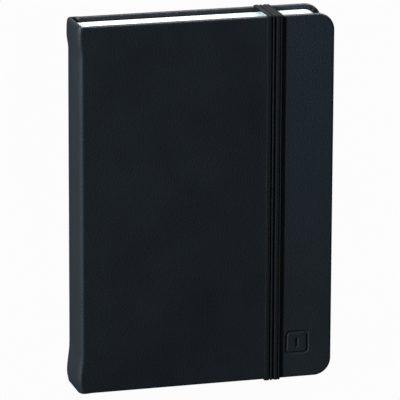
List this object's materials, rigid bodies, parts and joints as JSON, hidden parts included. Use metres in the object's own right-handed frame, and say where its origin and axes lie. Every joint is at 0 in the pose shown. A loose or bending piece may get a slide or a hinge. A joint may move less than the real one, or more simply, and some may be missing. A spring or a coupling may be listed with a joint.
{
  "type": "pocket notebook",
  "caption": "Small bound notebook in a soft dark leather cover with rounded corners, a sewn page block, an inner pocket and an elastic closure band.",
  "frame": {"origin": "middle of the bounding box at its base, which is the underside of the elastic over the tail edge", "axes": "+X from the spine to the fore edge, +Y from the front cover to the back cover, +Z from tail to head along the longest side"},
  "size_m": [0.1046, 0.0206, 0.1512],
  "materials": {
    "cover_leather": "satin, fine shallow grain",
    "board": "matte grey board",
    "elastic_band": "matte ribbed weave",
    "sewing_thread": "matte thread",
    "spine_lining": "matte woven lining",
    "page_paper": "matte uncoated paper",
    "endpaper": "matte heavy paper",
    "pocket_paper": "matte heavy paper",
    "pocket_cloth": "matte book cloth"
  },
  "bodies": {
    "back_half": {"back_board": "board", "back_cover_leather": "cover_leather", "back_joint_leather": "cover_leather", "back_pastedown": "endpaper", "pocket_panel": "pocket_paper", "pocket_head_gusset": "pocket_cloth", "pocket_tail_gusset": "pocket_cloth", "back_flyleaf": "endpaper", "section_07": "page_paper", "section_08": "page_paper", "section_09": "page_paper", "section_10": "page_paper", "section_11": "page_paper", "section_12": "page_paper", "rear_spine_lining": "spine_lining", "rear_sewing_thread": "sewing_thread", "elastic_head_leg": "elastic_band", "elastic_tail_leg": "elastic_band", "elastic_head_anchor": "elastic_band", "elastic_tail_anchor": "elastic_band"},
    "spine": {"spine_leather": "cover_leather", "spine_strip": "board"},
    "front_joint": {"front_joint_leather": "cover_leather", "front_flyleaf": "endpaper"},
    "front_cover": {"front_board": "board", "front_cover_leather": "cover_leather", "front_pastedown": "endpaper"},
    "front_pages": {"section_01": "page_paper", "section_02": "page_paper", "section_03": "page_paper", "section_04": "page_paper", "section_05": "page_paper", "section_06": "page_paper", "front_spine_lining": "spine_lining", "front_sewing_thread": "sewing_thread"},
    "elastic_band": {"elastic_strand": "elastic_band"}
  },
  "joints": [
    {"name": "block_opening", "type": "hinge", "parent": "back_half", "child": "front_pages", "pos_m": [-0.0494, 0.00005, 0.0756], "axis": [0, 0, -1], "range_deg": [0, 178]},
    {"name": "spine_turn", "type": "hinge", "parent": "back_half", "child": "spine", "pos_m": [-0.0524, 0.01047, 0.0756], "axis": [0, 0, -1], "range_deg": [0, 90]},
    {"name": "front_joint_turn", "type": "hinge", "parent": "spine", "child": "front_joint", "pos_m": [-0.0524, -0.00988, 0.0756], "axis": [0, 0, -1], "range_deg": [0, 90]},
    {"name": "front_cover_hinge", "type": "hinge", "parent": "front_joint", "child": "front_cover", "pos_m": [-0.0524, -0.00988, 0.0756], "axis": [0, 0, -1], "range_deg": [0, 175]},
    {"name": "elastic_slip", "type": "slide", "parent": "back_half", "child": "elastic_band", "axis": [1, 0, 0], "range_m": [0, 0.031], "deforming": ["elastic_strand", "elastic_head_leg", "elastic_tail_leg"]}
  ],
  "couplings": [
    {"joint": "spine_turn", "follows": "block_opening", "ratio": 0.5},
    {"joint": "front_joint_turn", "follows": "block_opening", "ratio": 0.5}
  ]
}
